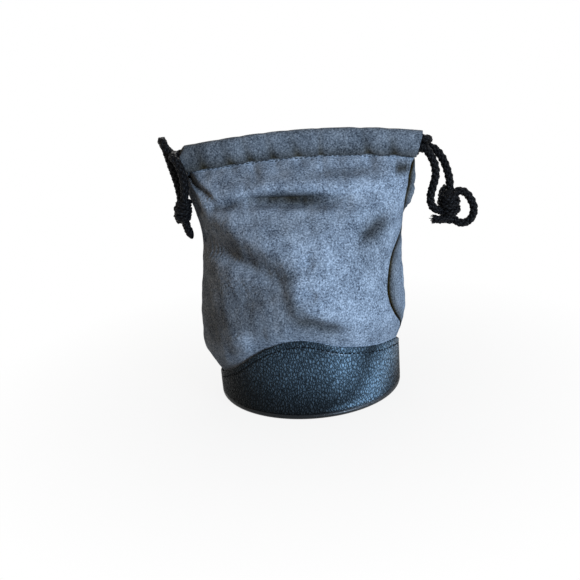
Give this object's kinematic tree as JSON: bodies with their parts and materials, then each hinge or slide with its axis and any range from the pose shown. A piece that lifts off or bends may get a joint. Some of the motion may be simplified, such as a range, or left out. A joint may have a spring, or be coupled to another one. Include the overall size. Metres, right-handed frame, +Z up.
{
  "type": "lens pouch",
  "caption": "Drawstring pouch for a camera lens: soft cloth tube on a stiff round base with a leather band, closed by knotted cords in its hem.",
  "frame": {"origin": "centre of the underside of the bottom panel, on the surface that the pouch stands on", "axes": "+Z up, +X to the right of the front, -Y towards the front where the leather band is highest"},
  "size_m": [0.1626, 0.1116, 0.1412],
  "materials": {
    "suede_cloth": "matt brushed suede-like cloth",
    "leather": "pebbled black leather with a soft sheen",
    "cord": "braided black cord",
    "board": "plain stiffening board",
    "foam": "open foam",
    "lining": "short plush lining"
  },
  "bodies": {
    "pouch": {"bottom_panel": "leather", "bottom_welt": "leather", "base_board": "board", "base_pad": "foam", "base_lining": "lining", "cup_stiffener": "board", "leather_band": "leather", "front_panel": "suede_cloth", "back_panel": "suede_cloth", "left_cord_turn": "cord", "right_cord_turn": "cord"},
    "front_neck": {"front_neck": "suede_cloth", "left_cord_front_run": "cord", "right_cord_front_run": "cord"},
    "back_neck": {"back_neck": "suede_cloth", "left_cord_back_run": "cord", "right_cord_back_run": "cord"},
    "left_cord": {"left_cord_knot": "cord", "left_cord_front_strand": "cord", "left_cord_back_strand": "cord", "left_cord_tail": "cord"},
    "right_cord": {"right_cord_knot": "cord", "right_cord_front_strand": "cord", "right_cord_back_strand": "cord", "right_cord_loop": "cord", "right_cord_tail": "cord"}
  },
  "joints": [
    {"name": "front_neck_open", "type": "hinge", "parent": "pouch", "child": "front_neck", "pos_m": [0, -0.0262, 0.11], "axis": [1, 0, 0], "range_deg": [0, 40], "deforming": ["left_cord_front_strand", "left_cord_back_strand", "right_cord_front_strand", "right_cord_back_strand"]},
    {"name": "back_neck_open", "type": "hinge", "parent": "pouch", "child": "back_neck", "pos_m": [0, 0.0262, 0.11], "axis": [-1, 0, 0], "range_deg": [0, 40]},
    {"name": "left_cord_draw", "type": "slide", "parent": "pouch", "child": "left_cord", "axis": [0, 0, 1], "range_m": [0, 0.012]},
    {"name": "right_cord_draw", "type": "slide", "parent": "pouch", "child": "right_cord", "axis": [0, 0, 1], "range_m": [0, 0.012]}
  ],
  "couplings": [
    {"joint": "back_neck_open", "follows": "front_neck_open", "ratio": 1},
    {"joint": "left_cord_draw", "follows": "front_neck_open", "m_per_rad": 0.0171},
    {"joint": "right_cord_draw", "follows": "front_neck_open", "m_per_rad": 0.0171}
  ]
}
